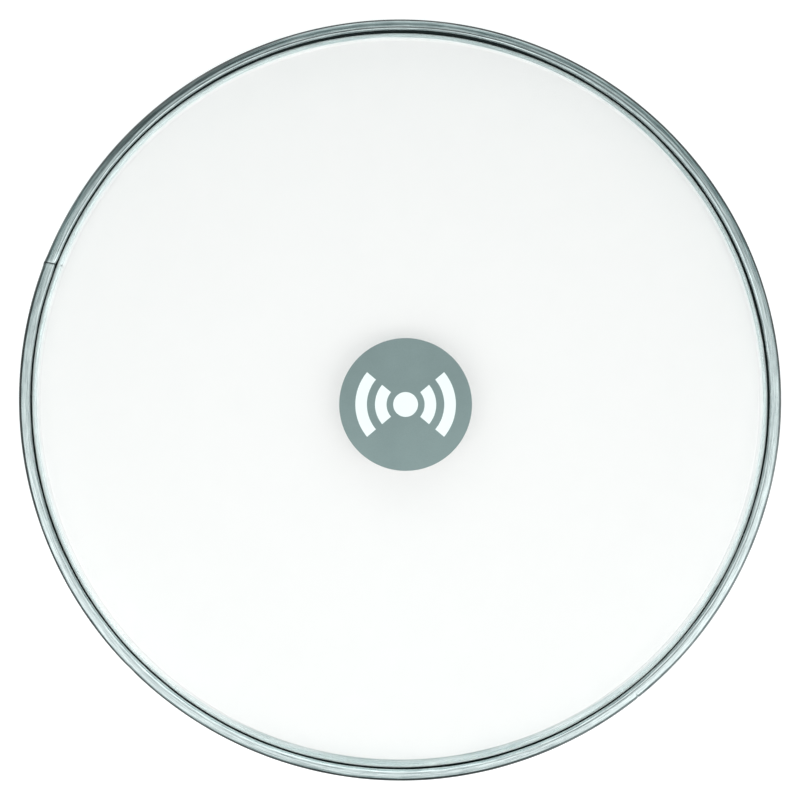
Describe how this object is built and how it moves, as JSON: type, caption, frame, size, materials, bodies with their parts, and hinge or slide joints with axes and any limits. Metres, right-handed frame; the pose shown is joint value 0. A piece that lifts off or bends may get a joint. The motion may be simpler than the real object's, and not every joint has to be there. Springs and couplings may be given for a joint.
{
  "type": "frame drum head",
  "caption": "Clear plastic drum head for a 14 inch frame drum: thin film with a formed collar, clamped in a crimped aluminium hoop.",
  "frame": {"origin": "centre of the hoop's bottom plane, on the drum's axis", "axes": "+Z along the drum's axis, out of the playing face; the hoop's butt seam lies 158.6 degrees anticlockwise from +X, and the printed mark reads with +Y upwards"},
  "size_m": [0.37, 0.37, 0.0141],
  "materials": {
    "hoop_aluminium": "rolled strip with fine lines along its length, lightly handled",
    "ring_plastic": "black, as moulded",
    "clear_film": "clear and glossy, with a faint cool tint",
    "grey_print": "flat screen-printed ink",
    "white_print": "flat screen-printed ink"
  },
  "bodies": {
    "root": {"crimped_hoop": "hoop_aluminium", "locking_ring": "ring_plastic", "drum_film": "clear_film", "printed_disc": "grey_print", "printed_mark": "white_print"}
  },
  "joints": []
}
